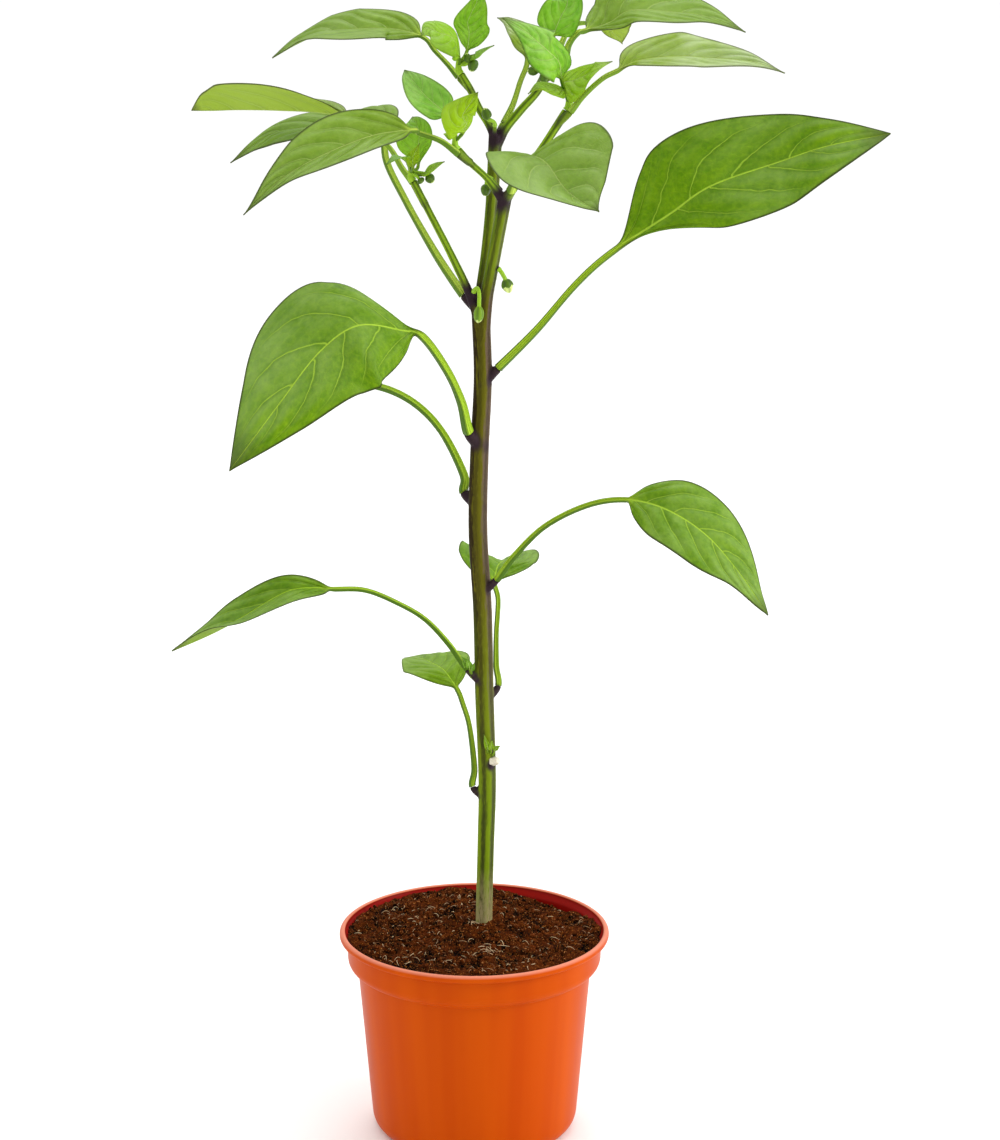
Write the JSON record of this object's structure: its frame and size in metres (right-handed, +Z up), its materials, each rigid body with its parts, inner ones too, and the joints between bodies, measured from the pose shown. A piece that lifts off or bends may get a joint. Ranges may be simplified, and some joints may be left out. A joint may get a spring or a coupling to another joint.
{
  "type": "potted chilli pepper plant",
  "caption": "Young chilli pepper plant with a forking ribbed stem, stalked pointed leaves and closed flower buds, standing in soil in a round plastic nursery pot.",
  "frame": {"origin": "middle of the pot's underside", "axes": "+Z up along the pot's axis; -Y is the front that the picture shows, +X its right"},
  "size_m": [0.3016, 0.1915, 0.5124],
  "materials": {
    "pot": "gloss",
    "soil": "matte",
    "stem": "satin",
    "leaf": "satin",
    "young_leaf": "satin",
    "bud": "satin"
  },
  "bodies": {
    "root": {"pot": "pot", "soil": "soil", "stem": "stem", "leaf_bottom_left": "leaf", "leaf_low_back": "leaf", "leaf_low_left": "leaf", "leaf_middle_right": "leaf", "leaf_middle_back": "leaf", "leaf_big_left": "leaf", "leaf_big_right": "leaf", "leaf_upper_back": "leaf", "leaf_upper_left": "leaf", "leaf_upper_front": "leaf", "leaf_front": "leaf", "leaf_top_left": "leaf", "leaf_top_right": "leaf", "leaf_top_back_right": "leaf", "leaf_top_back": "leaf", "leaf_top_pale": "young_leaf", "shoot_front_left": "young_leaf", "shoot_left": "young_leaf", "shoot_top_left": "young_leaf", "shoot_top_back": "young_leaf", "shoot_right": "young_leaf", "bud_front": "bud", "bud_right": "bud", "bud_middle": "bud", "bud_top": "bud"}
  },
  "joints": []
}
